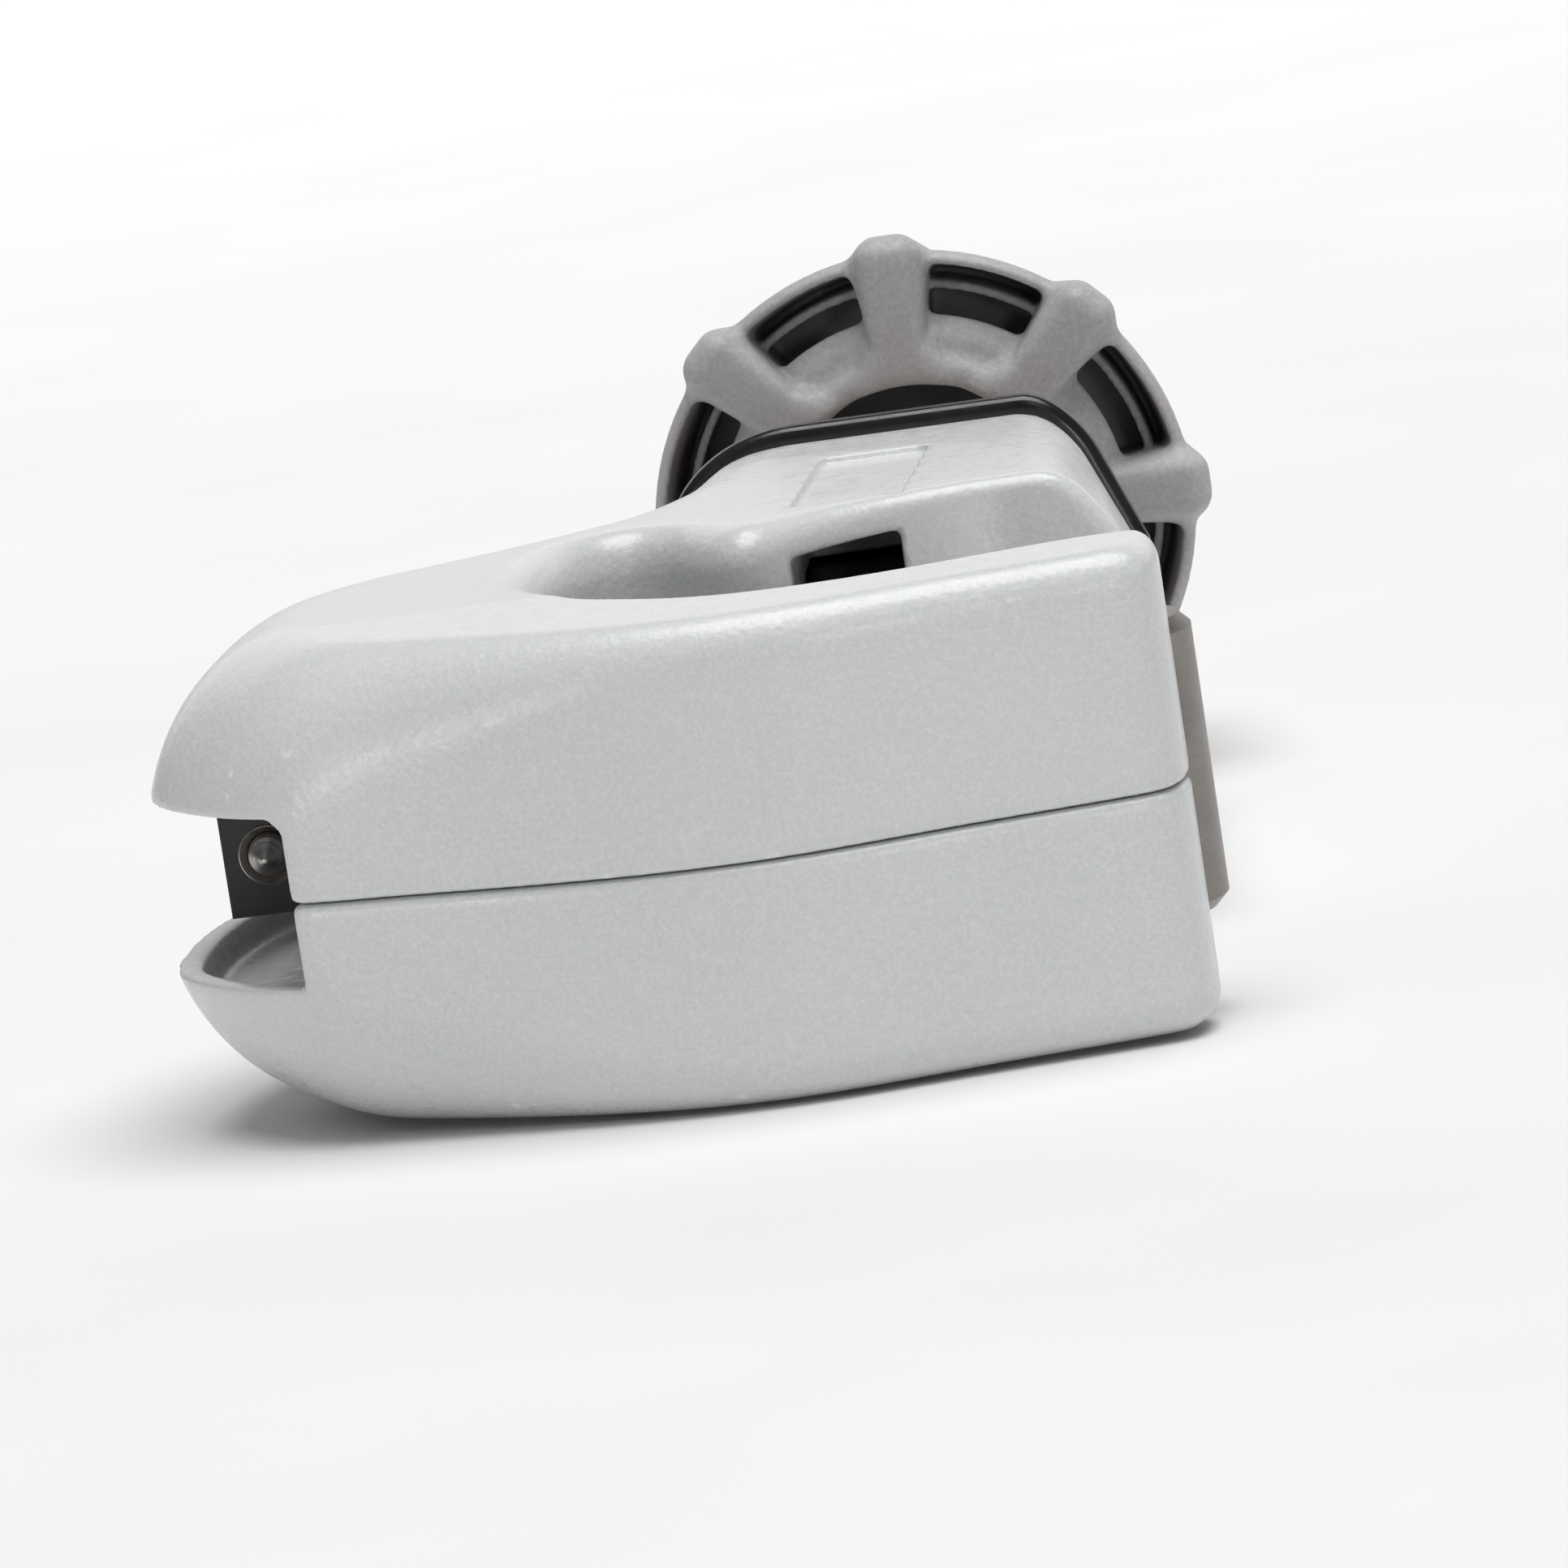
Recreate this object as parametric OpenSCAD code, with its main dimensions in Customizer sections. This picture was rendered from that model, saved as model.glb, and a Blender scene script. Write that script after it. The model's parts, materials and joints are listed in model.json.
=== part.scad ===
// Hand tube cutter: a two-part cast C frame with support rollers, a screw-fed
// cutting wheel on a guided slide, a ribbed feed knob and a swing-out reamer.
// Working axes: the feed screw runs along Y, the frame's split plane is level.

/* [Frame] */
// Height of the two frame halves together
body_h = 30.4; // [30:0.1:31]
// Thickness of the wall between the mouth and the slide's guide
mouth_wall = 2.6; // [2.4:0.1:2.8]
// Reach of the throat, from the screw's axis to the closed end of the mouth
throat_x = 18.4; // [18.2:0.1:18.6]
// Height of the slot that the reamer swings out of
slot_h = 10.8; // [10.4:0.1:11.2]

/* [Rollers] */
// Radius of the outer support rollers
outer_roller_r = 5.5; // [5.3:0.1:5.6]
// Radius of the inner support rollers
inner_roller_r = 4.5; // [4.3:0.1:4.6]
// Length of every roller
roller_l = 18.5; // [18:0.1:18.6]
// Radius of the roller axles
axle_r = 1.6; // [1.5:0.05:1.6]

/* [Cutter] */
// Radius of the cutting wheel
wheel_r = 9; // [8.5:0.1:9.1]
// Distance of the wheel's centre from the front of the frame at rest
wheel_y = 33.5; // [33.3:0.1:33.6]
// Radius of the pin that carries the cutting wheel
wheel_pin_r = 2; // [1.8:0.05:2]

/* [Feed] */
// Outer radius of the feed screw's thread
screw_r = 4; // [3.8:0.05:4]
// Depth of one thread groove
thread_depth = 0.55; // [0.4:0.05:0.6]
// Distance from one thread turn to the next
thread_pitch = 2; // [2:0.5:2.5]

/* [Knob] */
// Radius over the knob's ribs
knob_r = 20.3; // [20:0.1:20.6]
// Length of the knob along the screw
knob_l = 25; // [25:0.1:25.5]
// Width of one rib
rib_w = 4.8; // [4.4:0.1:5]

/* [Reamer] */
// Height of the reamer's holder
holder_h = 7.6; // [7:0.1:7.8]
// Radius of the reamer's pivot pin
pivot_r = 2; // [1.8:0.05:2]

/* [Hidden] */
$fn = 64;

hh = body_h / 2;
// The part's origin is below the middle of its own box
shift = [10.1, -63.51, knob_r];
fit = 0.05;
// Where things sit along the feed screw
wall_y = 44.4;
neck_y = 90;
collar_t = 2;
knob_y = 109;
nut_y0 = 85;
nut_y1 = 88.2;
sleeve_y = 106.5;
block_y0 = 63;
block_y1 = 67;
shoulder_y = 68.05;
hub_d = 14.5;
hub_wall = 3;
pocket_d = 6;
// The top of the frame falls slowly from the throat to the neck's end
slope_y = 10;
slope = 0.0613;
function top_z(y) = hh - max(0, y - slope_y) * slope;
// Roller axes
ro = [17.8, 8.5];
ri = [6.2, 1.9];
// Reamer pivot
pv = [-32.6, 32.5];
tip_x = -36.7;
// Screws that hold the frame halves together
screw_at = [[-13.6, 0.4], [-22, 40.3], [9.6, 63], [-9.6, 63], [9.4, 78], [-9.4, 78]];
// Screws that hold the collar
collar_at = [[10, 4.4], [-10, 4.4], [10, -4.4], [-10, -4.4]];

// Outline of the frame and neck at the split plane: x, y, how far the top edge
// is rounded in, how tall that rounding is, and how far the side leans in below
// it. The outline runs on past the neck's end.
outline = [
  [22.2, 2.6, 2.0, 2.2, 0], [22.1, 7.0, 2.0, 2.2, 0], [21.6, 20, 2.4, 2.8, 0.4], [20.8, 34, 3.4, 4, 1],
  [19.8, 46, 4.4, 5, 1.8], [18.2, 60, 3.9, 5, 3], [16.9, 75, 3.4, 5.4, 3.8], [15.5, 99, 3.0, 5.8, 4.6],
  [15.5, 130, 3.0, 5.8, 4.6], [-15.5, 130, 9, 10, 1], [-15.5, 99, 9, 10, 1], [-16.2, 75, 7.6, 8.6, 1],
  [-17.2, 63, 6.5, 7.4, 0.8], [-19.2, 53.5, 5.8, 6.8, 0.4], [-22.6, 46.8, 5.5, 6.8, 0], [-27.5, 43, 5.6, 7.6, 0],
  [-33.2, 39, 6.2, 9, 0], [-38.4, 32.8, 7.5, 11, 0], [-41.8, 26, 9.5, 13.2, 0], [-43.35, 18.5, 11.2, 14.2, 0],
  [-43.1, 10.2, 11.8, 14.4, 0], [-39.1, 3.5, 10.8, 13.8, 0], [-33.6, -0.8, 8.4, 11.5, 0], [-26, -3, 5.5, 8, 0],
  [-16, -5.7, 3.5, 5, 0], [-8.3, -6.9, 2.6, 3.4, 0], [-0.9, -6.6, 2.3, 2.6, 0], [9, -4.2, 2.1, 2.3, 0],
  [18.9, -2.2, 2.0, 2.2, 0], [21.5, -0.3, 2.0, 2.2, 0]];
sub = 2;
over = 0.25;
levels = [-4, 2.2, 6.2, 9.4, 11.8, 13.4, 14.6, hh];

function cr(a, b, c, d, t) = 0.5 * ((2 * b) + (c - a) * t + (2 * a - 5 * b + 4 * c - d) * t * t
  + (3 * b - a - 3 * c + d) * t * t * t);
function smooth(p, m) = let (n = len(p)) [for (i = [0 : n - 1], k = [0 : m - 1])
  cr(p[(i + n - 1) % n], p[i], p[(i + 1) % n], p[(i + 2) % n], k / m)];
function rnd(z, r) = z <= hh - r ? 0 : 1 - sqrt(max(0, 1 - pow((z - hh + r) / r, 2)));
function inward(p, i) = let (n = len(p), a = p[(i + n - 1) % n], b = p[(i + 1) % n],
  d = [b[0] - a[0], b[1] - a[1]]) [-d[1], d[0]] / norm(d);
ring0 = smooth(outline, sub);
function ring(z) = [for (i = [0 : len(ring0) - 1]) let (p = ring0[i], v = inward(ring0, i),
  s = p[2] * rnd(z, p[3]) + p[4] * max(0, z) / hh, y = p[1] + v[1] * s)
  [p[0] + v[0] * s, y, z < 0 ? z : z * (top_z(y) + over) / hh]];

// Half of the frame's outer form, above the split plane: rings drawn in towards
// the top, closed by a low cone that the level and the sloping top then trim
module body_half() {
  n = len(ring0);
  m = len(levels);
  pts = concat([for (z = levels) each ring(z)], [[0, 40, hh + 0.6]]);
  sides = [for (j = [0 : m - 2], i = [0 : n - 1]) let (a = j * n + i, b = j * n + (i + 1) % n)
    each [[a, a + n, b], [b, a + n, b + n]]];
  bottom = [[for (i = [0 : n - 1]) i]];
  top = [for (i = [0 : n - 1]) [(m - 1) * n + i, m * n, (m - 1) * n + (i + 1) % n]];
  difference() {
    polyhedron(pts, concat(sides, bottom, top), convexity = 6);
    translate([-70, -40, -20]) cube([140, 200, 20]);
    translate([-70, -40, hh]) cube([140, 200, 20]);
    translate([-70, slope_y, hh]) rotate([-atan(slope), 0, 0]) translate([0, -60, 0]) cube([140, 200, 20]);
    translate([-70, neck_y, -10]) cube([140, 60, 40]);
  }
}

// Plan of the mouth that the tube goes into
module mouth_plan() {
  polygon([[60, wall_y], [60, 6.4], [19.9, 6.3], [16.5, 6.0], [13.4, 5.3], [9.5, 4.2], [6, 3.3],
    [2.5, 2.7], [-1, 2.5], [-4, 2.8], [-7, 3.9], [-9.5, 5.3], [-13, 8.3], [-15.4, 12.2],
    [1.3 - throat_x, 16.8], [0.5 - throat_x, 21.8], [0.1 - throat_x, 27], [-throat_x, 32],
    [0.4 - throat_x, 37], [-16.8, 41], [-14.6, 43], [-12.2, 42], [-10.6, 39], [-9.4, 36], [-8.2, 33.4],
    [-6.8, 32.2], [-5, 33.2], [-2.4, 36], [1, 39.4], [5, 42.4], [9.4, 44.1], [13, wall_y]]);
}
// Hollow of the spine, low and high
module spine_plan() {
  polygon([[-33, 2.2], [-36.8, 5.6], [-39.8, 11.6], [-41.2, 18.5], [-40.3, 25], [-37, 31.2],
    [-31.6, 36], [-26.4, 39], [-25.6, 34], [-22, 30], [-21.2, 20], [-24.4, 12], [-26.4, 5], [-29, 1]]);
}
module spine_plan_high() {
  polygon([[-30.5, 6], [-32.2, 10], [-33, 18.5], [-32.4, 25], [-30.8, 29], [-28, 31], [-24.4, 29],
    [-22.4, 20], [-25.4, 12], [-27.4, 8]]);
}
// Side that the reamer leaves by
module slot_plan() {
  polygon([[-33.3, -12], [-33.3, 22], [-27, 30], [-27, 52], [-60, 52], [-60, -12]]);
}
module along_y(y0, y1, r, x = 0, z = 0) {
  translate([x, y1, z]) rotate([90, 0, 0]) cylinder(r = r, h = y1 - y0);
}
module box(x0, x1, y0, y1, z0, z1) {
  translate([x0, y0, z0]) cube([x1 - x0, y1 - y0, z1 - z0]);
}
module hex_y(y0, y1, r) {
  translate([0, y1, 0]) rotate([90, 0, 0]) cylinder(r = r, h = y1 - y0, $fn = 6);
}

// One frame half, drawn above the split plane; its twin is the mirror image
module shell_half() {
  seat = roller_l / 2 + 0.25;
  difference() {
    union() {
      difference() {
        body_half();
        translate([0, 0, -1]) linear_extrude(40) mouth_plan();
        translate([0, 0, -1]) linear_extrude(7) spine_plan();
        translate([0, 0, 5]) linear_extrude(7) spine_plan_high();
      }
      // Ears for the roller axles
      for (c = [[ro[0], ro[1]], [ri[0], ri[1]], [-ri[0], ri[1]]])
        translate([c[0], c[1], seat]) cylinder(r = 3, h = 12.9 - seat);
      box(14.8, 20.8, 1, ro[1], seat, 12.9);
      // Boss for the reamer's pivot
      translate([pv[0], pv[1], slot_h / 2 - 0.1]) cylinder(r = 4, h = 3.2);
    }
    // Roller seats and axle holes
    for (c = [[ro[0], ro[1], outer_roller_r], [-ro[0], ro[1], outer_roller_r],
        [ri[0], ri[1], inner_roller_r], [-ri[0], ri[1], inner_roller_r]]) {
      translate([c[0], c[1], -1]) cylinder(r = c[2] + 0.4, h = seat + 1);
      translate([c[0], c[1], -1]) cylinder(r = axle_r + 0.02, h = 13);
    }
    // Window in the mouth's back wall, room for the wheel, guide for the slide
    box(-3.4, 3.4, 34, 54, -1, 10.3);
    box(-9.7, 9.7, 28, 50, -1, 2.6);
    translate([0, 50, -1]) cylinder(r = 9.7, h = 3.6);
    box(-6.35, 6.35, wall_y + mouth_wall, nut_y0 - 0.05, -1, 7.9);
    // Seat for the nut and the hole its sleeve leaves by
    hex_y(nut_y0 - 0.05, nut_y1 + 0.05, 9.06);
    along_y(nut_y1, neck_y + 1, 6.56);
    // Hollows beside the guide
    for (s = [-1, 1]) translate([s * 10, 70.5, -1]) cylinder(r = 2.2, h = 8);
    // Slot for the reamer, and its pivot's hole
    translate([0, 0, -1]) linear_extrude(1 + slot_h / 2) slot_plan();
    translate([pv[0], pv[1], -1]) cylinder(r = pivot_r + 0.02, h = 11.2);
    // Holes for the collar's screws
    for (c = collar_at) if (c[1] > 0) along_y(80, neck_y + 1, 1.22, c[0], c[1]);
  }
}

module upper_shell() {
  color([0.78, 0.80, 0.80]) difference() {
    shell_half();
    for (p = screw_at) translate([p[0], p[1], -1]) cylinder(r = 1.27, h = 8);
    // Blank recessed panel on the neck
    translate([0.25, 58.8, top_z(58.8)]) rotate([-atan(slope), 0, 0]) translate([-3.65, -14.8, -0.35])
      cube([7.3, 29.6, 2]);
  }
}
module lower_shell() {
  color([0.76, 0.78, 0.78]) difference() {
    mirror([0, 0, 1]) shell_half();
    for (p = screw_at) {
      translate([p[0], p[1], -8]) cylinder(r = 1.4, h = 9);
      translate([p[0], p[1], -20]) cylinder(r = 2.4, h = 13.5);
    }
  }
}
module shell_screws() {
  color([0.3, 0.3, 0.32]) for (p = screw_at) translate([p[0], p[1], 0]) difference() {
    union() {
      translate([0, 0, -6.5]) cylinder(r = 1.25, h = 12.5);
      translate([0, 0, -9.1]) cylinder(r = 2.2, h = 2.6);
    }
    translate([0, 0, -9.2]) cylinder(r = 1.2, h = 1.6, $fn = 6);
  }
}
module roller_axles() {
  color([0.6, 0.6, 0.62]) for (c = [ro, [-ro[0], ro[1]], ri, [-ri[0], ri[1]]])
    translate([c[0], c[1], -11.8]) cylinder(r = axle_r, h = 23.6);
}
// Support roller with chamfered ends
module roller(c, r) {
  h = roller_l / 2;
  color([0.5, 0.48, 0.47]) translate([c[0], c[1], 0]) rotate_extrude()
    polygon([[axle_r + fit, -h], [r - 0.8, -h], [r, -h + 0.8], [r, h - 0.8], [r - 0.8, h], [axle_r + fit, h]]);
}
module roller_outer_right() { roller(ro, outer_roller_r); }
module roller_outer_left() { roller([-ro[0], ro[1]], outer_roller_r); }
module roller_inner_right() { roller(ri, inner_roller_r); }
module roller_inner_left() { roller([-ri[0], ri[1]], inner_roller_r); }

// Outline of the neck's end, grown by g: each side leans in and is rounded over
// the top, the left one over a wider sweep
function side_x(z, h, w, a, b, c) = w - c * z / h - a * (z <= h - b ? 0 : 1 - sqrt(max(0, 1 - pow((z - h + b) / b, 2))));
function neck_edge(g) = let (h = top_z(neck_y) + g,
  up = concat([for (k = [0 : 12]) let (z = h * sin(k * 7.5)) [side_x(z, h, 15.9 + g, 3.1, 4 + g / 2, 4.4), z]],
    [for (k = [12 : -1 : 0]) let (z = h * sin(k * 7.5)) [-side_x(z, h, 15.7 + g, 8.9, 6.8 + g / 2, 1), z]]))
  concat(up, [for (i = [len(up) - 2 : -1 : 1]) [up[i][0], -up[i][1]]]);
module neck_collar() {
  color([0.04, 0.04, 0.045]) difference() {
    translate([0, neck_y + collar_t, 0]) rotate([90, 0, 0]) linear_extrude(collar_t) polygon(neck_edge(0.8));
    along_y(neck_y - 1, neck_y + collar_t + 1, 6.56);
    for (c = collar_at) {
      along_y(neck_y - 1, neck_y + collar_t + 1, 1.3, c[0], c[1]);
      along_y(neck_y + collar_t - 1.2, neck_y + collar_t + 1, 2.35, c[0], c[1]);
    }
  }
}
module collar_screws() {
  color([0.3, 0.3, 0.32]) for (c = collar_at) difference() {
    union() {
      along_y(82, neck_y + collar_t - 1.2, 1.2, c[0], c[1]);
      along_y(neck_y + collar_t - 1.2, neck_y + collar_t, 2.25, c[0], c[1]);
    }
    translate([c[0], neck_y + collar_t + 0.1, c[1]]) rotate([90, 0, 0])
      cylinder(r = 1.1, h = 0.8, $fn = 6);
  }
}
// Threaded bush with a hexagonal flange held by both frame halves
module feed_nut() {
  color([0.72, 0.58, 0.3]) difference() {
    union() {
      hex_y(nut_y0, nut_y1, 9);
      along_y(nut_y1, sleeve_y, 6.5);
    }
    along_y(nut_y0 - 1, sleeve_y + 1, screw_r + fit);
  }
}

// Fork and guided bar that carry the wheel
module cutter_slide() {
  color([0.2, 0.2, 0.21]) difference() {
    union() {
      for (s = [-1, 1]) {
        translate([0, wheel_y, s > 0 ? 2.45 : -7.5]) cylinder(r = 3.1, h = 5.05);
        box(-3.1, 3.1, wheel_y, wheel_y + 10, s > 0 ? 2.45 : -7.5, s > 0 ? 7.5 : -2.45);
      }
      box(-3.1, 3.1, wheel_y + 9.7, block_y0 + 1, -7.5, 7.5);
      box(-6, 6, block_y0, block_y1, -7.5, 7.5);
    }
    translate([0, wheel_y, -10]) cylinder(r = wheel_pin_r + 0.02, h = 20);
    along_y(58, block_y1 + 1, 2.45);
    box(-5.05, 5.05, 64, 65.4, -3.6, 9);
  }
}
// Wheel with a hub and a tapered cutting edge
module disc_cutter() {
  rotate_extrude() polygon([[wheel_pin_r + fit, -2.1], [4.0, -2.1], [4.3, -1.8], [4.3, -1.15],
    [5.4, -1.0], [wheel_r - 0.08, -0.08], [wheel_r, 0], [wheel_r - 0.08, 0.08], [5.4, 1.0],
    [4.3, 1.15], [4.3, 1.8], [4.0, 2.1], [wheel_pin_r + fit, 2.1]]);
}
module cutting_wheel() { color([0.55, 0.55, 0.57]) translate([0, wheel_y, 0]) disc_cutter(); }
module wheel_pin() {
  color([0.62, 0.62, 0.64]) translate([0, wheel_y, 0]) rotate_extrude()
    polygon([[0, -9.1], [1.7, -9.1], [wheel_pin_r, -8.8], [wheel_pin_r, -8.35], [1.5, -8.35],
      [1.5, -7.6], [wheel_pin_r, -7.6], [wheel_pin_r, 7.55], [2.8, 7.55], [2.8, 8.8], [2.4, 9.2], [0, 9.2]]);
}
// Open ring that snaps into the pin's groove
module pin_clip() {
  color([0.25, 0.25, 0.26]) translate([0, wheel_y, -8.3]) difference() {
    cylinder(r = 2.8, h = 0.65);
    translate([0, 0, -1]) cylinder(r = 1.52, h = 3);
    translate([-1.3, 0, -1]) cube([2.6, 4, 3]);
  }
}
// Forked plate that keeps the screw's end in the slide
module swivel_clip() {
  color([0.6, 0.6, 0.62]) difference() {
    box(-5, 5, 64.05, 65.35, -3.55, 7.4);
    along_y(63, 67, 1.78);
    box(-1.78, 1.78, 63, 67, -5, 0);
  }
}
module thrust_washer() {
  color([0.72, 0.58, 0.3]) difference() {
    along_y(block_y1, shoulder_y - 0.05, 5.2);
    along_y(block_y1 - 1, shoulder_y + 1, 2.48);
  }
}
// Screw: swivel end, thread with rounded grooves, hexagon for the knob
module feed_screw() {
  y1 = knob_y + hub_d;
  g = thread_depth;
  turns = floor((y1 - shoulder_y - 4) / thread_pitch);
  color([0.56, 0.56, 0.58]) difference() {
    union() {
      translate([0, 0, 0]) rotate([-90, 0, 0]) rotate_extrude() polygon(concat(
        [[0, 58.3], [2.1, 58.3], [2.4, 58.6], [2.4, 64], [1.7, 64], [1.7, 65.4], [2.4, 65.4], [2.4, shoulder_y]],
        [[screw_r - g, shoulder_y]],
        [for (k = [0 : turns - 1], q = [0 : 3]) let (y = shoulder_y + 1 + k * thread_pitch)
          [q == 0 || q == 3 ? screw_r - g : screw_r, y + [0.15, 0.65, 1.35, 1.85][q] * thread_pitch / 2]],
        [[screw_r - g, y1], [0, y1]]));
      hex_y(y1 - 0.5, y1 + hub_wall - 0.2, 3.3);
    }
    along_y(y1 - 6, y1 + hub_wall + 1, 1.62);
  }
}

// Ribbed cup knob; drawn along Z from its front plane, then turned onto the screw
module on_knob() { translate([0, knob_y, 0]) rotate([-90, 0, 0]) children(); }
module rib() {
  rt = rib_w / 2;
  difference() {
    translate([0, rt, 0]) rotate([90, 0, 0]) linear_extrude(rib_w) polygon([[10.4, 0], [knob_r - 0.8, 0],
      [knob_r, 0.8], [knob_r, 2.6], [knob_r - 3.7, 20.5], [10.4, 20.5]]);
    for (s = [-1, 1]) translate([knob_r, s * rt, 2.6]) rotate([0, -11.7, 0]) rotate([0, 0, 45])
      cube([1.7, 1.7, 60], center = true);
  }
}
module knob() {
  rim = knob_r - 1.1;
  back = knob_l - 1.5;
  color([0.36, 0.355, 0.365]) on_knob() difference() {
    union() {
      rotate_extrude() polygon([[9.7, 1.0], [rim - 0.5, 1.0], [rim, 1.5], [rim, 3], [rim - 4, 23],
        [rim - 4.4, knob_l - 0.6], [rim - 5.2, knob_l], [0, knob_l], [0, hub_d], [9.7, hub_d]]);
      for (k = [0 : 7]) rotate([0, 0, k * 45]) rib();
    }
    translate([0, 0, -1]) cylinder(r = 9.7, h = hub_d + 1);
    // Pockets between the ribs
    for (k = [0 : 7]) rotate([0, 0, k * 45 + 10.5]) rotate_extrude(angle = 24)
      polygon([[14.6, -1], [18.3, -1], [18.2, 7], [14.9, 7]]);
    // Hexagon for the screw, hollow for the spare wheel, seat for the cap
    translate([0, 0, hub_d - 1]) cylinder(r = 3.34, h = hub_wall + 2, $fn = 6);
    translate([0, 0, hub_d + hub_wall]) cylinder(r = 9.5, h = 20);
    translate([0, 0, back]) cylinder(r = 12.04, h = 5);
  }
}
module knob_screw() {
  z = hub_d + hub_wall;
  color([0.55, 0.55, 0.57]) on_knob() difference() {
    union() {
      translate([0, 0, z]) cylinder(r = 4.3, h = 1.4);
      translate([0, 0, z - 8.5]) cylinder(r = 1.6, h = 9);
    }
    translate([0, 0, z + 0.6]) cylinder(r = 1.4, h = 2, $fn = 6);
  }
}
module spare_wheel() {
  color([0.55, 0.55, 0.57]) on_knob() translate([0, 0, knob_l - 1.5 - 2.15]) disc_cutter();
}
module knob_cap() {
  z = knob_l - 1.5;
  color([0.3, 0.295, 0.305]) on_knob() difference() {
    union() {
      translate([0, 0, z]) cylinder(r = 12, h = 1.5);
      translate([0, 0, z - 4]) cylinder(r = wheel_pin_r - 0.03, h = 4.5);
    }
    for (s = [0, 180]) rotate([0, 0, s]) translate([8, -3, z + 0.8]) cube([2.2, 6, 2]);
  }
}

module reamer_holder() {
  color([0.09, 0.09, 0.095]) difference() {
    translate([0, 0, -holder_h / 2]) linear_extrude(holder_h) union() {
      polygon([[-39.6, 17.4], [-33.8, 17.4], [pv[0] + 4, pv[1]], [pv[0] - 4, pv[1]]]);
      translate(pv) circle(r = 4);
    }
    translate([pv[0], pv[1], -10]) cylinder(r = pivot_r + fit, h = 20);
    along_y(16, 25, 1.34, tip_x);
    along_y(16, 18.3, 1.92, tip_x);
  }
}
// Turned steel point
module reamer_tip() {
  color([0.72, 0.7, 0.68]) translate([tip_x, 0, 0]) rotate([-90, 0, 0]) rotate_extrude()
    polygon([[0, 15.3], [0.18, 15.36], [0.3, 15.6], [0.8, 16.2], [0.95, 16.3], [1.3, 16.9], [1.3, 24.8], [0, 24.8]]);
}
module reamer_collar() {
  color([0.7, 0.68, 0.66]) difference() {
    along_y(17.2, 18.3, 1.9, tip_x);
    along_y(16, 20, 1.32, tip_x);
  }
}
module reamer_pivot_pin() {
  color([0.6, 0.6, 0.62]) translate([pv[0], pv[1], -10]) cylinder(r = pivot_r, h = 20);
}
module reamer_washer() {
  color([0.62, 0.62, 0.64]) for (s = [0, 1]) mirror([0, 0, s]) translate([pv[0], pv[1], holder_h / 2 + 0.3]) difference() {
    cylinder(r = 3.8, h = slot_h / 2 - 0.1 - holder_h / 2 - 0.3);
    translate([0, 0, -1]) cylinder(r = pivot_r + 0.03, h = 5);
  }
}

translate(shift) lower_shell();
translate(shift) upper_shell();
translate(shift) shell_screws();
translate(shift) roller_axles();
translate(shift) roller_outer_right();
translate(shift) roller_outer_left();
translate(shift) roller_inner_right();
translate(shift) roller_inner_left();
translate(shift) neck_collar();
translate(shift) collar_screws();
translate(shift) feed_nut();
translate(shift) cutter_slide();
translate(shift) cutting_wheel();
translate(shift) wheel_pin();
translate(shift) pin_clip();
translate(shift) swivel_clip();
translate(shift) thrust_washer();
translate(shift) feed_screw();
translate(shift) knob();
translate(shift) knob_screw();
translate(shift) spare_wheel();
translate(shift) knob_cap();
translate(shift) reamer_holder();
translate(shift) reamer_tip();
translate(shift) reamer_collar();
translate(shift) reamer_pivot_pin();
translate(shift) reamer_washer();
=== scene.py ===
"""Looks of a hand tube cutter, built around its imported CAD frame."""
import math
import json

import bpy
import bmesh
import numpy as np
from mathutils import Matrix, Vector


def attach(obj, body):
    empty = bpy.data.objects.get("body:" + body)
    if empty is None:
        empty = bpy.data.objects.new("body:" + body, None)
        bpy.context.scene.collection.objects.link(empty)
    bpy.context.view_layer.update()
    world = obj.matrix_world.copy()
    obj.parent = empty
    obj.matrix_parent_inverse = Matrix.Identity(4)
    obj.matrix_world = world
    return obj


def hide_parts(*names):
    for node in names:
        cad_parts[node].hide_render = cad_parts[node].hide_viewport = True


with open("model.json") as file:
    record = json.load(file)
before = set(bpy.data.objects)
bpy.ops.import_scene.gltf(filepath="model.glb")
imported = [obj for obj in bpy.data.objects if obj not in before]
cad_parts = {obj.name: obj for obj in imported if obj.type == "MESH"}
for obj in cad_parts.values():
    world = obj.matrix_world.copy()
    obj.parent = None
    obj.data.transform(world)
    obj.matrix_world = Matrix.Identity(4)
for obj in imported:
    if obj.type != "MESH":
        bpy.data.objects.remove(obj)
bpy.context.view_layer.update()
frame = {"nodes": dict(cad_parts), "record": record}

# The tool's own axes: millimetres, feed screw along Y at x = z = 0, split plane at z = 0.
SHIFT = np.array([10.1, -63.51, 20.3])
HH = 15.2
NECK_Y = 90.0
KNOB_Y = 109.0
RO = (17.8, 8.5)
RI = (6.2, 1.9)
PV = (-32.6, 32.5)
SCREWS = [(-13.6, 0.4), (-22, 40.3), (9.6, 63), (-9.6, 63), (9.4, 78), (-9.4, 78)]


# ---------------------------------------------------------------- fields and meshes
def catmull(points, m):
    p = np.asarray(points, float)
    n = len(p)
    out = []
    for i in range(n):
        a, b, c, d = p[i - 1], p[i], p[(i + 1) % n], p[(i + 2) % n]
        for k in range(m):
            t = k / m
            out.append(0.5 * (2 * b + (c - a) * t + (2 * a - 5 * b + 4 * c - d) * t * t
                              + (3 * b - a - 3 * c + d) * t ** 3))
    return np.array(out)


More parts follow.
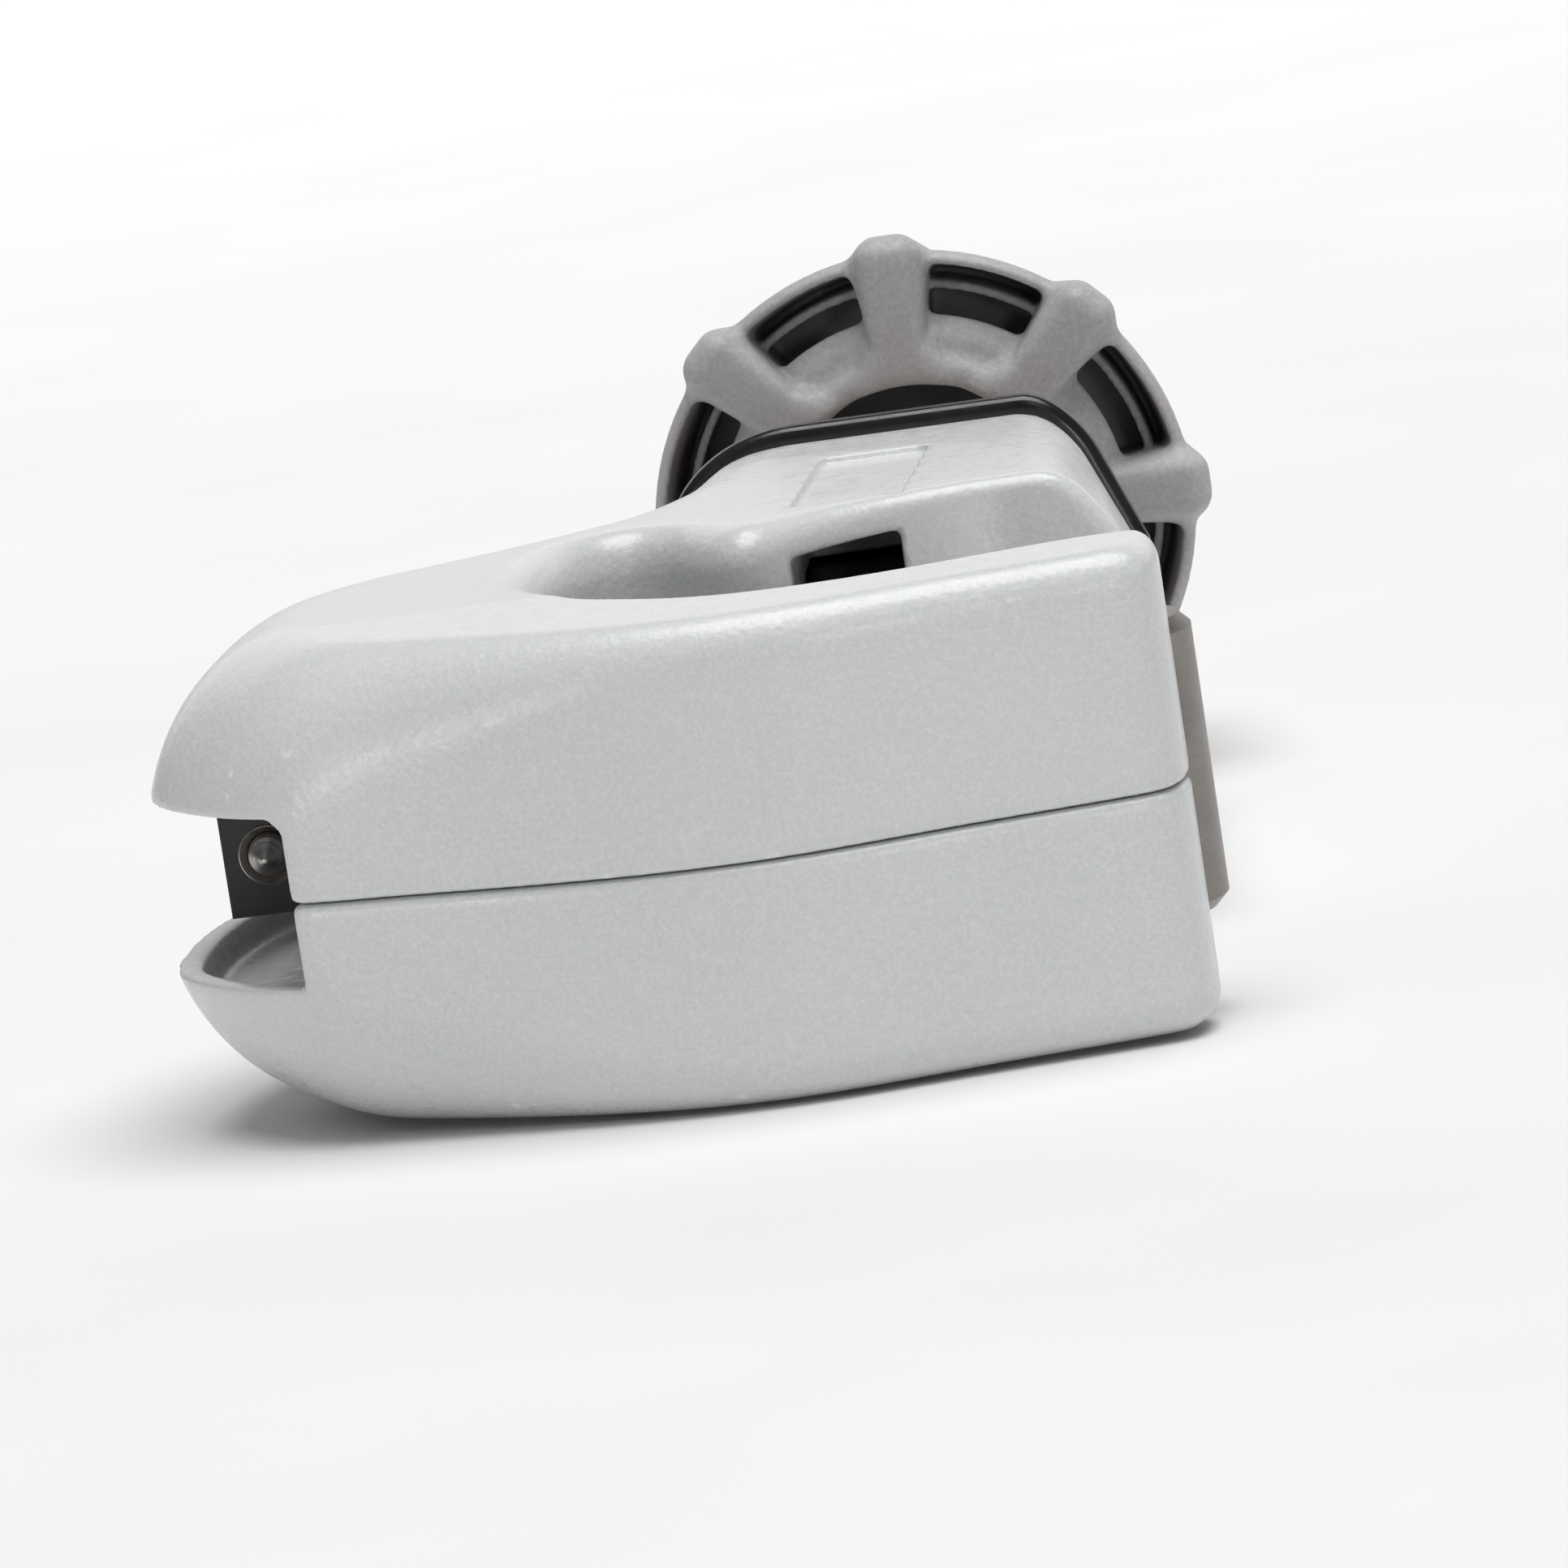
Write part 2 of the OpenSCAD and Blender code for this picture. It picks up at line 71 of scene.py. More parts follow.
def plan_field(X, Y, line):
    """Signed distance to a closed line (negative inside) and the line's other values at the nearest point."""
    line = np.asarray(line, float)
    n, na = line.shape[0], line.shape[1] - 2
    best = np.full(X.shape, 1e9)
    inside = np.zeros(X.shape, bool)
    extra = np.zeros((na,) + X.shape)
    for i in range(n):
        a, b = line[i], line[(i + 1) % n]
        e0, e1 = b[0] - a[0], b[1] - a[1]
        t = np.clip(((X - a[0]) * e0 + (Y - a[1]) * e1) / (e0 * e0 + e1 * e1 + 1e-12), 0, 1)
        d = (X - a[0] - e0 * t) ** 2 + (Y - a[1] - e1 * t) ** 2
        m = d < best
        best[m] = d[m]
        for k in range(na):
            extra[k][m] = a[2 + k] + (b[2 + k] - a[2 + k]) * t[m]
        if a[1] != b[1]:
            inside ^= ((a[1] > Y) != (b[1] > Y)) & (X < e0 * (Y - a[1]) / e1 + a[0])
    return np.where(inside, -1.0, 1.0) * np.sqrt(best), extra


def blur(a, r):
    """Softens a plan over about r samples each way."""
    k = np.exp(-0.5 * (np.arange(-3 * r, 3 * r + 1) / r) ** 2)
    k = k / k.sum()
    for ax in (0, 1):
        p = np.pad(a, [(3 * r, 3 * r) if i == ax else (0, 0) for i in (0, 1)], mode="edge")
        n = a.shape[ax]
        a = sum(w * np.take(p, range(i, i + n), axis=ax) for i, w in enumerate(k))
    return a


def smax(a, b, k):
    h = np.maximum(k - np.abs(a - b), 0) / k
    return np.maximum(a, b) + h * h * (k * 0.25)


def smin(a, b, k):
    return -smax(-a, -b, k)


def step01(a, b, x):
    t = np.clip((x - a) / (b - a), 0, 1)
    return t * t * (3 - 2 * t)


def grid(lo, hi, h):
    ax = [np.arange(lo[k], hi[k] + h, h, dtype=np.float32) for k in range(3)]
    return ax[0][:, None, None], ax[1][None, :, None], ax[2][None, None, :]


def sample(f, g):
    n = np.array(f.shape) - 2
    i = np.clip(np.floor(g).astype(int), 0, n)
    t = g - i
    r = 0
    for dx in (0, 1):
        for dy in (0, 1):
            for dz in (0, 1):
                w = ((t[:, 0] if dx else 1 - t[:, 0]) * (t[:, 1] if dy else 1 - t[:, 1])
                     * (t[:, 2] if dz else 1 - t[:, 2]))
                r = r + w * f[i[:, 0] + dx, i[:, 1] + dy, i[:, 2] + dz]
    return r


def surface(f, lo, h):
    """Closed quad mesh of the field's zero level, with its corners drawn onto the level."""
    neg = f < 0
    c = np.array(f.shape) - 1
    cells = int(c[0] * c[1] * c[2])
    idx, pos, quads = [], [], []
    for ax in range(3):
        s0, s1 = [slice(None)] * 3, [slice(None)] * 3
        s0[ax], s1[ax] = slice(0, -1), slice(1, None)
        a, b = neg[tuple(s0)], neg[tuple(s1)]
        I = np.stack(np.nonzero(a != b), 1)
        J = I.copy()
        J[:, ax] += 1
        f0, f1 = f[tuple(I.T)], f[tuple(J.T)]
        P = I.astype(float)
        P[:, ax] += f0 / (f0 - f1)
        u, v = (ax + 1) % 3, (ax + 2) % 3
        ids = []
        for du, dv in ((-1, -1), (0, -1), (0, 0), (-1, 0)):
            D = I.copy()
            D[:, u] += du
            D[:, v] += dv
            ids.append((D[:, 0] * c[1] + D[:, 1]) * c[2] + D[:, 2])
            idx.append(ids[-1])
            pos.append(P)
        q = np.stack(ids, 1)
        out = f0 >= 0
        q[out] = q[out][:, ::-1]
        quads.append(q)
    idx, pos, quads = np.concatenate(idx), np.concatenate(pos), np.concatenate(quads)
    count = np.bincount(idx, minlength=cells)
    used = np.nonzero(count)[0]
    remap = np.full(cells, -1)
    remap[used] = np.arange(len(used))
    g = np.stack([np.bincount(idx, weights=pos[:, k], minlength=cells)[used] / count[used] for k in range(3)], 1)
    for _ in range(3):
        val = sample(f, g)
        grad = np.stack([sample(f, g + e) - sample(f, g - e) for e in np.eye(3) * 0.5], 1)
        move = -grad * (val / (np.sum(grad * grad, 1) + 1e-6))[:, None]
        far = np.linalg.norm(move, axis=1, keepdims=True)
        g = g + move * np.minimum(1, 0.35 / (far + 1e-9))
    return np.asarray(lo) + g * h, remap[quads]


def mesh_object(name, verts, faces, ratio=1.0, flip=False):
    """Object from corners in the tool's millimetres, thinned to a share of its faces."""
    v = (np.asarray(verts) + SHIFT) * 0.001
    faces = np.asarray(faces)
    if flip:
        faces = faces[:, ::-1]
    me = bpy.data.meshes.new(name)
    me.vertices.add(len(v))
    me.vertices.foreach_set("co", v.astype(np.float32).ravel())
    k = faces.shape[1]
    me.loops.add(faces.size)
    me.loops.foreach_set("vertex_index", faces.astype(np.int32).ravel())
    me.polygons.add(len(faces))
    me.polygons.foreach_set("loop_start", np.arange(0, faces.size, k, dtype=np.int32))
    me.update(calc_edges=True)
    me.validate()
    ob = bpy.data.objects.new(name, me)
    bpy.context.scene.collection.objects.link(ob)
    if ratio < 1:
        mod = ob.modifiers.new("thin", "DECIMATE")
        mod.ratio = ratio
        dg = bpy.context.evaluated_depsgraph_get()
        new = bpy.data.meshes.new_from_object(ob.evaluated_get(dg))
        ob.modifiers.clear()
        ob.data = new
        bpy.data.meshes.remove(me)
        ob.data.name = name
    ob.data.polygons.foreach_set("use_smooth", np.ones(len(ob.data.polygons), bool))
    ob.data.update()
    return ob


# ---------------------------------------------------------------- frame halves
def top_z(y):
    return HH - np.maximum(0, y - 10) * 0.0613


# Outline of a frame half at the split plane: x, y, how far the top edge is rounded in,
# how tall that rounding is, and how far the side leans in below it. The neck's right side
# has a field of its own, so the outline runs past it.
CONTOUR = [
    (20.9, -1.35, 2, 2.2, 0), (21.9, 0.3, 2, 2.2, 0), (22.2, 2.4, 1.8, 2.1, 0), (22.1, 4.5, 1.4, 1.7, 0),
    (21.4, 5.9, 1.2, 1.4, 0), (19.9, 6.35, 1, 1.2, 0),
    (16.5, 6.0, 1, 1.2, 0), (13.4, 5.3, 1, 1.2, 0), (9.5, 4.2, 1, 1.2, 0), (6, 3.3, 1, 1.2, 0),
    (2.5, 2.7, 1, 1.2, 0), (-1, 2.5, 1, 1.2, 0), (-4.2, 2.9, 1.1, 1.3, 0), (-7.3, 4.1, 1.2, 1.5, 0),
    (-10.2, 6.0, 1.3, 1.6, 0), (-13.2, 8.6, 1.5, 1.9, 0), (-15.4, 12.4, 1.7, 2.2, 0), (-17.0, 16.8, 2, 2.7, 0),
    (-17.8, 21.8, 2.4, 3.4, 0), (-18.1, 27, 2.6, 3.8, 0), (-18.1, 32, 2.6, 3.8, 0), (-17.5, 37, 2.5, 3.6, 0),
    (-16.1, 40.8, 2.4, 3.4, 0), (-13.8, 42.4, 2.4, 3.3, 0), (-11.5, 41.3, 2.5, 3.2, 0), (-9.8, 38.6, 2.6, 3.1, 0),
    (-8.3, 36, 2.8, 3, 0), (-6.4, 34.6, 2.8, 2.8, 0), (-4.3, 34.8, 2.4, 2.4, 0.8), (-1.8, 36.4, 1.8, 1.9, 1.6),
    (1.2, 38.9, 1.4, 1.5, 2), (5, 41.4, 1.1, 1.2, 2), (9.4, 42.9, 1, 1.1, 2),
    (13, 43.2, 1, 1.1, 2), (17, 43.4, 1, 1.1, 2), (24, 43.6, 1, 1.1, 2), (28, 47, 1, 1.1, 0),
    (29, 60, 1, 1.1, 0), (29, 100, 1, 1.1, 0), (27, 128, 3, 3, 0), (10, 131, 5, 5, 0),
    (-13.5, 129, 9, 6.8, 1), (-15.5, 99, 9, 6.8, 1), (-16.2, 75, 7.6, 6.2, 1),
    (-17.2, 63, 6.5, 6, 0.8), (-19.2, 53.5, 5.8, 6, 0.4), (-22.6, 46.8, 5.5, 6.4, 0), (-27.5, 43, 5.6, 7.4, 0),
    (-33.2, 39, 6.2, 8.8, 0), (-38.4, 32.8, 7.5, 10.8, 0), (-41.8, 26, 9.5, 13, 0), (-43.35, 18.5, 11.2, 14, 0),
    (-43.1, 10.2, 11.8, 14.3, 0), (-39.1, 3.5, 10.8, 13.7, 0), (-33.6, -0.8, 8.4, 11.5, 0), (-26, -3, 5.5, 8, 0),
    (-16, -5.7, 3.5, 5, 0), (-8.3, -6.9, 2.6, 3.4, 0), (-0.9, -6.6, 2.3, 2.6, 0), (9, -4.2, 2.1, 2.3, 0),
    (18.0, -2.35, 2.0, 2.2, 0)]
HOLLOW = [(-30.5, -1.5), (-45, 3), (-50, 20), (-45, 36), (-30, 44), (-26.4, 38.6), (-25, 33), (-21.8, 28),
          (-21.2, 18), (-24, 10), (-26.5, 4)]
SLOT = [(-33.3, -12), (-33.3, 22), (-27, 30), (-27, 52), (-60, 52), (-60, -12)]


def cyl(X, Y, c, r):
    return np.sqrt((X - c[0]) ** 2 + (Y - c[1]) ** 2) - r


def rounded(u, v, a, b):
    """Field of a corner rounded by an ellipse, a wide and b tall; u and v grow outwards from its middle."""
    up, vp = np.maximum(u, 0) / a, np.maximum(v, 0) / b
    k0 = np.sqrt(up * up + vp * vp)
    k1 = np.sqrt((up / a) ** 2 + (vp / b) ** 2) + 1e-6
    return np.where((u > 0) & (v > 0), k0 * (k0 - 1) / k1, np.maximum(u - a, v - b))


def frame_half(h):
    lo, hi = (-46.0, -9.0, -0.9), (24.6, 92.0, 16.4)
    X, Y, Z = grid(lo, hi, h)
    X2, Y2 = np.broadcast_arrays(X[:, :, 0], Y[:, :, 0])
    d2, extra = plan_field(X2.astype(float), Y2.astype(float), catmull(CONTOUR, 5))
    a, b, c = (blur(q, max(2, round(1.3 / h))) for q in extra)
    d2, a, b, c = (q.astype(np.float32)[:, :, None] for q in (d2, a, b, c))
    T = top_z(Y)
    f = rounded(d2 + c * np.clip(Z / T, 0, 1) + a, Z - (T - b), a, b)
    # The neck's right side: a leaning wall with a wide cut edge at the mouth, rounded over at the collar
    fy = (30, 43, 44, 60, 75, 90)
    w, lean, xc, fa, fb = (np.interp(Y, fy, val).astype(np.float32) for val in (
        (70, 20.2, 19.9, 18.3, 17.0, 15.9), (0, 2.8, 2.8, 3.4, 4.0, 4.4), (70, 14.6, 14.3, 12.7, 11.2, 9.6),
        (4.4, 4.4, 4.4, 3.9, 3.4, 3.1), (4.9, 4.9, 4.9, 4.5, 4.2, 4.0)))
    u = X - w + lean * np.clip(Z / T, 0, 1)
    side = smax(0.95 * u, 0.743 * (X - xc) + 0.67 * (Z - T), 1.8)
    blend = step01(48, 84, Y)
    side = side * (1 - blend) + rounded(u + fa, Z - (T - fb), fa, fb) * blend
    f = smax(f, side, 1.4)
    f = smax(f, Y - NECK_Y, 0.8)
    outer = f
    # Hollow spine: a shallow tray at the nose, deeper inside
    hol, _ = plan_field(X2.astype(float), Y2.astype(float), np.array(HOLLOW))
    deep = 7.3 + 5.7 * step01(-34.2, -32.6, X)
    cav = smax(smax(d2 + 1.7 + 0 * Z, f + 1.5, 0.3), hol.astype(np.float32)[:, :, None] + 0 * Z, 1.2)
    cav = smax(cav, Z - deep, 0.35)
    f = np.maximum(f, -cav)
    boss = np.maximum(smax(cyl(X, Y, PV, 4.0) + 0 * Z, 5.4 - Z, 0.4), outer + 0.6)
    f = smin(f, boss, 0.7)
    # Ears for the roller axles
    for p in (RO, RI, (-RI[0], RI[1])):
        f = smin(f, smax(cyl(X, Y, p, 3.0) + 0 * Z, np.abs(Z - 11.2) - 1.7, 0.5), 0.6)
    bx = np.maximum(np.maximum(np.abs(X - 17.8) - 3.0, np.abs(Y - 4.75) - 3.75), np.abs(Z - 11.2) - 1.7)
    f = smin(f, bx, 0.4)
    # Roller seats
    for p, r in ((RO, 5.9), ((-RO[0], RO[1]), 5.9), (RI, 4.9), ((-RI[0], RI[1]), 4.9)):
        f = smax(f, -np.maximum(cyl(X, Y, p, r) + 0 * Z, Z - 9.5), 0.35)
        f = np.maximum(f, -np.maximum(cyl(X, Y, p, 1.66) + 0 * Z, Z - 12))
    # Window in the mouth's back wall, room for the wheel, guide, nut seat, way out for the sleeve
    win = smax(np.abs(X - 0.2) - 3.4 + 0 * Z, Z - 10.9 + 0 * X, 0.5)
    f = smax(f, -np.maximum(win, np.abs(Y - 44) - 10), 0.3)
    room = np.maximum(np.minimum(np.maximum(np.abs(X) - 9.7, np.abs(Y - 39) - 11), cyl(X, Y, (0, 50), 9.7)), Z - 2.6)
    f = smax(f, -room, 0.3)
    f = np.maximum(f, -np.maximum(np.maximum(np.abs(X) - 6.35, Z - 7.9), np.abs(Y - 65.98) - 18.98))
    hexa = np.maximum(np.abs(Z) + 0 * X, np.abs(X) * 0.866 + np.abs(Z) * 0.5) - 7.85
    f = np.maximum(f, -np.maximum(hexa, np.abs(Y - 86.6) - 1.66))
    f = smax(f, -np.maximum(np.sqrt(X * X + Z * Z) - 6.56, 87 - Y), 0.3)
    # Slot that the reamer leaves by, with a small cut corner in the upper half
    sp, _ = plan_field(X2.astype(float), Y2.astype(float), np.array(SLOT))
    sp = sp.astype(np.float32)[:, :, None]
    f = np.maximum(f, -np.maximum(cyl(X, Y, PV, 2.03) + 0 * Z, Z - 10.2))
    cut = np.maximum(sp, Z - 5.4)
    upper = smax(f, -np.maximum(cut, (sp + Z - 5.4 + 0.8) * 0.7071), 0.3)
    lower = smax(f, -cut, 0.3)
    # The split plane, with a small round on its edge
    upper = smax(upper, 0.05 - Z + 0 * X, 0.6)
    lower = smax(lower, 0.05 - Z + 0 * X, 0.6)
    # Blank recessed panel on the upper half's neck
    pan = smax(np.abs(X - 0.25) - 3.65, np.abs(Y - 58.8) - 14.8, 0.8)
    upper = np.maximum(upper, -np.maximum(pan + 0 * Z, T - 0.55 - Z))
    # Screw heads sit below the surface of the lower half
    for p in SCREWS:
        lower = smax(lower, -np.maximum(cyl(X, Y, p, 2.4) + 0 * Z, 6.5 - Z), 0.4)
        lower = np.maximum(lower, -(cyl(X, Y, p, 1.4) + 0 * Z))
    return upper, lower, lo


H = 0.32
up_f, low_f, lo = frame_half(H)
v, q = surface(up_f, lo, H)
upper = mesh_object("upper_shell_cast", v, q, 0.35)
v, q = surface(low_f, lo, H)
v[:, 2] *= -1
lower = mesh_object("lower_shell_cast", v, q, 0.35, flip=True)
del up_f, low_f


# ---------------------------------------------------------------- knob
def knob_field(h):
    lo, hi = (-21.6, -1.2, -21.6), (21.6, 26.2, 21.6)
    X, S, Z = grid(lo, hi, h)
    r = np.sqrt(X * X + Z * Z)
    th = np.arctan2(Z, X)
    w = np.pi / 4
    t = th - np.round(th / w) * w
    tx, ty = r * np.abs(np.sin(t)), r * np.cos(t)
    half = np.pi / 8 - np.abs(t)
    face = 1.9
    # Body between the ribs, drawn in towards its back
    draw = 0.2 * np.maximum(S - 3, 0)
    f = smax(r - 19.0 + draw, np.abs(S - (25 + face) / 2) - (25 - face) / 2, 1.2)
    # Raised ring round the hub
    f = smin(f, smax(np.abs(r - 10.5) - 0.95, np.abs(S - 6) - 5.2, 0.8), 1.6)
    # Ribs: bars on the front that run out and down the side
    wide = 2.3 + 0.8 * step01(13.2, 9.8, r)
    q0, q1 = tx - (wide - 1.6) + 0 * S, ty - 18.6 + draw
    bar = np.sqrt(np.maximum(q0, 0) ** 2 + np.maximum(q1, 0) ** 2) + np.minimum(np.maximum(q0, q1), 0) - 1.6
    bar = np.maximum(bar, 9 - ty)
    f = smin(f, smax(bar, np.abs(S - 10.3) - 10.2, 1.8), 1.0)
    # Hub hole, blind end towards the screw's seat
    f = smax(f, -np.maximum(r - 9.7, S - 14.5), 0.9)
    # Pockets under the rim, with a thin web along the floor, and a dip that leads into them
    edge = r * (half - np.radians(13.6))
    dip = np.maximum(np.sqrt((r - 15.4) ** 2 + (S - 0.5) ** 2) - 2.5, edge)
    f = smax(f, -dip, 0.5)
    pock = smax(np.abs(r + draw - 16.3) - 1.8, edge, 0.7)
    web = np.maximum(np.abs(r - 16.4) - 0.32, 4.2 - S)
    pock = np.maximum(np.maximum(pock, S - 8), -web)
    f = smax(f, -pock, 0.4)
    # Back: seat for the cap and the room behind it
    f = smax(f, -np.maximum(r - 12.05, 23.5 - S), 0.3)
    f = np.maximum(f, -np.maximum(r - 9.5, 17.5 - S))
    f = np.maximum(f, -(np.sqrt(X * X + Z * Z) - 3.4 + 0 * S))
    return f, lo


H = 0.3
kf, lo = knob_field(H)
v, q = surface(kf, np.array(lo) + [0, KNOB_Y, 0], H)
knob = mesh_object("knob_moulded", v, q, 0.4)
del kf


# ---------------------------------------------------------------- collar
def side_x(z, h, w, a, b, c):
    t = max(0.0, (z - h + b) / b)
    return w - c * z / h - a * (1 - math.sqrt(max(0.0, 1 - t * t)))


def neck_edge(g):
    h = float(top_z(NECK_Y)) + g
    zs = [h * math.sin(math.pi / 2 * k / 24) for k in range(25)]
    up = [(side_x(z, h, 15.9 + g, 3.1, 4 + g / 2, 4.4), z) for z in zs]
    up += [(-side_x(z, h, 15.7 + g, 8.9, 6.8 + g / 2, 1), z) for z in zs[::-1]]
    return np.array(up + [(x, -z) for x, z in up[-2:0:-1]])


def collar_field(h):
    lo, hi = (-18.2, 88.6, -13.2), (18.2, 93.4, 13.2)
    X, Y, Z = grid(lo, hi, h)
    X2, Z2 = np.broadcast_arrays(X[:, 0, :], Z[:, 0, :])
    d, _ = plan_field(X2.astype(float), Z2.astype(float), neck_edge(0.8))
    f = smax(d.astype(np.float32)[:, None, :] + 0 * Y, np.abs(Y - 91.0) - 1.0, 1.0)
    f = smax(f, 6.56 - np.sqrt(X * X + Z * Z) + 0 * Y, 0.3)
    for s in (-1, 1):
        for t in (-1, 1):
            hole = np.sqrt((X - 10 * s) ** 2 + (Z - 4.4 * t) ** 2)
            f = smax(f, -np.maximum(hole - 2.35, 90.8 - Y), 0.2)
    return f, lo


H = 0.2
cf, lo = collar_field(H)
v, q = surface(cf, lo, H)
collar = mesh_object("neck_collar_moulded", v, q, 0.5)


# ---------------------------------------------------------------- reamer point
def turned(name, profile, x, z, n=72):
    """Piece turned about an axis along Y; a profile that starts and ends on the axis makes a solid, any other a ring."""
    solid = profile[0][0] == 0 and profile[-1][0] == 0
    rings = profile[1:-1] if solid else profile
    m = len(rings)
    pts = [(x + r * math.cos(2 * math.pi * i / n), y, z + r * math.sin(2 * math.pi * i / n))
           for i in range(n) for r, y in rings]
    faces = []
    for i in range(n):
        a, b = i * m, (i + 1) % n * m
        for j in range(m - 1 if solid else m):
            k = (j + 1) % m
            faces.append((a + j, a + k, b + k, b + j))
    if solid:
        first, last = len(pts), len(pts) + 1
        pts += [(x, profile[0][1], z), (x, profile[-1][1], z)]
        for i in range(n):
            a, b = i * m, (i + 1) % n * m
            faces += [(first, a, b), (last, b + m - 1, a + m - 1)]
    me = bpy.data.meshes.new(name)
    me.from_pydata([tuple((np.array(q) + SHIFT) * 0.001) for q in pts], [], faces)
    bm = bmesh.new()
    bm.from_mesh(me)
    bmesh.ops.recalc_face_normals(bm, faces=bm.faces)
    bm.to_mesh(me)
    bm.free()
    me.polygons.foreach_set("use_smooth", np.ones(len(me.polygons), bool))
    me.set_sharp_from_angle(angle=math.radians(24))
    ob = bpy.data.objects.new(name, me)
    bpy.context.scene.collection.objects.link(ob)
    return ob


TIP_X = -36.7
tip = turned("reamer_tip_turned", [(0, 15.3), (0.16, 15.36), (0.3, 15.56), (0.62, 15.98), (0.66, 16.1), (0.94, 16.42),
                                   (0.98, 16.56), (1.22, 16.84), (1.24, 17.0), (1.32, 17.5), (1.32, 24.8), (0, 24.8)],
             TIP_X, 0.0)
seat = turned("reamer_seat_turned", [(1.9, 17.25), (1.84, 17.2), (1.38, 18.0), (1.36, 18.3), (1.9, 18.3)], TIP_X, 0.0)
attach(tip, "reamer")
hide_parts("reamer_tip")
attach(seat, "reamer")
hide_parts("reamer_collar")

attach(upper, "frame")
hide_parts("upper_shell")
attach(lower, "frame")
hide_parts("lower_shell")
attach(collar, "frame")
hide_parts("neck_collar")
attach(knob, "feed_knob")
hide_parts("knob")


# ---------------------------------------------------------------- materials
class Mat:
    """A material with small helpers for its nodes; lengths of pattern are in millimetres."""

    def __init__(self, name):
        self.m = bpy.data.materials.new(name)
        self.m.use_nodes = True
        self.t = self.m.node_tree
        self.b = self.t.nodes["Principled BSDF"]
        self.co = self.t.nodes.new("ShaderNodeTexCoord").outputs["Object"]

    def link(self, a, b):
        self.t.links.new(a, b)

    def noise(self, size, detail=2.0, rough=0.5, stretch=(1, 1, 1)):
        mp = self.t.nodes.new("ShaderNodeMapping")
        mp.inputs["Scale"].default_value = stretch
        self.link(self.co, mp.inputs["Vector"])
        n = self.t.nodes.new("ShaderNodeTexNoise")
        n.inputs["Scale"].default_value = 1000.0 / size
        n.inputs["Detail"].default_value = detail
        n.inputs["Roughness"].default_value = rough
        self.link(mp.outputs["Vector"], n.inputs["Vector"])
        return n.outputs["Fac"]

    def cells(self, size, feature="F1", randomness=1.0):
        n = self.t.nodes.new("ShaderNodeTexVoronoi")
        n.feature = feature
        n.inputs["Scale"].default_value = 1000.0 / size
        n.inputs["Randomness"].default_value = randomness
        self.link(self.co, n.inputs["Vector"])
        return n

    def ramp(self, fac, stops):
        r = self.t.nodes.new("ShaderNodeValToRGB")
        e = r.color_ramp.elements
        while len(e) < len(stops):
            e.new(0.5)
        for k, (p, c) in zip(e, stops):
            k.position = p
            k.color = tuple(c) + (1,) if len(c) == 3 else tuple(c)
        self.link(fac, r.inputs["Fac"])
        return r.outputs["Color"]

    def range(self, fac, a, b, c, d):
        r = self.t.nodes.new("ShaderNodeMapRange")
        for k, val in zip(("From Min", "From Max", "To Min", "To Max"), (a, b, c, d)):
            r.inputs[k].default_value = val
        self.link(fac, r.inputs["Value"])
        return r.outputs["Result"]

    def math(self, op, a, b):
        n = self.t.nodes.new("ShaderNodeMath")
        n.operation = op
        for k, val in enumerate((a, b)):
            if isinstance(val, (int, float)):
                n.inputs[k].default_value = val
            else:
                self.link(val, n.inputs[k])
        return n.outputs["Value"]

    def mix(self, fac, a, b):
        n = self.t.nodes.new("ShaderNodeMix")
        n.data_type = "RGBA"
        self.link(fac, n.inputs[0])
        for k, val in ((6, a), (7, b)):
            if isinstance(val, tuple):
                n.inputs[k].default_value = val + (1,)
            else:
                self.link(val, n.inputs[k])
        return n.outputs[2]

    def bump(self, height, strength, distance_mm, before=None):
        n = self.t.nodes.new("ShaderNodeBump")
        n.inputs["Strength"].default_value = strength
        n.inputs["Distance"].default_value = distance_mm * 0.001
        self.link(height, n.inputs["Height"])
        if before is not None:
            self.link(before, n.inputs["Normal"])
        return n.outputs["Normal"]

    def set(self, **kw):
        for k, val in kw.items():
            s = self.b.inputs[k.replace("_", " ")]
            if isinstance(val, (int, float)):
                s.default_value = val
            elif isinstance(val, tuple):
                s.default_value = val + (1,) if len(val) == 3 and s.type == "RGBA" else val
            else:
                self.link(val, s)
        return self


